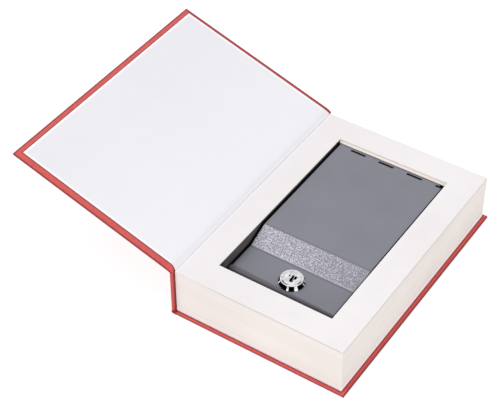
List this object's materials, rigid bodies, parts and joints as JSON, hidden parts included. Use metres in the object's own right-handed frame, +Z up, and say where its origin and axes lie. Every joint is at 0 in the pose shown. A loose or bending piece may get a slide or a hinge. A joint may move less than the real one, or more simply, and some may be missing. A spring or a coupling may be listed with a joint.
{
  "type": "book diversion safe",
  "caption": "Hardback book lying open, its false page block framing a steel cash box with a stepped hinged lid and a cam lock.",
  "frame": {"origin": "centre of the page block's footprint, on the underside of the back cover, which is the face the book rests on", "axes": "+Z up, +X from the spine to the fore-edge, +Y from the lock's end to the hinged end of the cash box's lid"},
  "size_m": [0.3144, 0.24, 0.0972],
  "materials": {
    "cloth_red": "fine woven book cloth, matt",
    "greyboard": "pressed greyboard, matt",
    "paper_white": "smooth uncoated endpaper",
    "page_cream": "smooth cream page edges",
    "lined_board": "fibreboard lined with cream paper",
    "tray_paint": "dark grey powder coat on sheet steel",
    "lid_paint": "mid grey semi-gloss paint on sheet steel",
    "chrome_plate": "bright chrome plate",
    "spring_steel": "bright spring steel",
    "wafer_brass": "stamped brass",
    "zinc_plate": "zinc plated steel"
  },
  "bodies": {
    "book": {"back_cover_cloth": "cloth_red", "back_board": "greyboard", "back_endpaper": "paper_white", "back_joint_cloth": "cloth_red", "spine_cloth": "cloth_red", "spine_board": "greyboard", "front_joint_cloth": "cloth_red", "endpaper_hinge": "paper_white", "spine_rail": "lined_board", "fore_rail": "lined_board", "front_rail": "lined_board", "rear_rail": "lined_board", "page_edge_skin": "page_cream", "top_sheet": "paper_white", "cash_tray": "tray_paint", "keeper_ledge": "tray_paint"},
    "front_cover": {"front_cover_cloth": "cloth_red", "front_board": "greyboard", "front_endpaper": "paper_white"},
    "box_lid": {"lid_panel": "lid_paint", "lock_housing": "chrome_plate", "lock_clip": "spring_steel"},
    "lock_core": {"lock_plug": "chrome_plate", "lock_stop_plate": "zinc_plate", "lock_cam": "zinc_plate", "cam_washer": "spring_steel", "cam_screw": "zinc_plate", "wafer_spring_1": "spring_steel", "wafer_spring_2": "spring_steel", "wafer_spring_3": "spring_steel", "wafer_spring_4": "spring_steel", "wafer_spring_5": "spring_steel"},
    "wafer_1": {"lock_wafer_1": "wafer_brass"},
    "wafer_2": {"lock_wafer_2": "wafer_brass"},
    "wafer_3": {"lock_wafer_3": "wafer_brass"},
    "wafer_4": {"lock_wafer_4": "wafer_brass"},
    "wafer_5": {"lock_wafer_5": "wafer_brass"}
  },
  "joints": [
    {"name": "cover_hinge", "type": "hinge", "parent": "book", "child": "front_cover", "pos_m": [-0.0799, 0, 0.04753], "axis": [0, -1, 0], "range_deg": [-162.2, 34.2], "deforming": ["front_joint_cloth", "endpaper_hinge"]},
    {"name": "lid_hinge", "type": "hinge", "parent": "book", "child": "box_lid", "pos_m": [0, 0.0897, 0.0419], "axis": [-1, 0, 0], "range_deg": [0, 100]},
    {"name": "lock_turn", "type": "hinge", "parent": "box_lid", "child": "lock_core", "pos_m": [0, -0.067, 0.0354], "axis": [0, 0, -1], "range_deg": [0, 90]},
    {"name": "wafer_1_slide", "type": "slide", "parent": "lock_core", "child": "wafer_1", "axis": [-0.2079, 0.9781, 0], "range_m": [-0.001, 0], "stiffness_N_per_m": 100, "springref_m": -0.001, "deforming": ["wafer_spring_1"]},
    {"name": "wafer_2_slide", "type": "slide", "parent": "lock_core", "child": "wafer_2", "axis": [-0.2079, 0.9781, 0], "range_m": [-0.001, 0], "stiffness_N_per_m": 100, "springref_m": -0.001, "deforming": ["wafer_spring_2"]},
    {"name": "wafer_3_slide", "type": "slide", "parent": "lock_core", "child": "wafer_3", "axis": [-0.2079, 0.9781, 0], "range_m": [-0.001, 0], "stiffness_N_per_m": 100, "springref_m": -0.001, "deforming": ["wafer_spring_3"]},
    {"name": "wafer_4_slide", "type": "slide", "parent": "lock_core", "child": "wafer_4", "axis": [-0.2079, 0.9781, 0], "range_m": [-0.001, 0], "stiffness_N_per_m": 100, "springref_m": -0.001, "deforming": ["wafer_spring_4"]},
    {"name": "wafer_5_slide", "type": "slide", "parent": "lock_core", "child": "wafer_5", "axis": [-0.2079, 0.9781, 0], "range_m": [-0.001, 0], "stiffness_N_per_m": 100, "springref_m": -0.001, "deforming": ["wafer_spring_5"]}
  ]
}
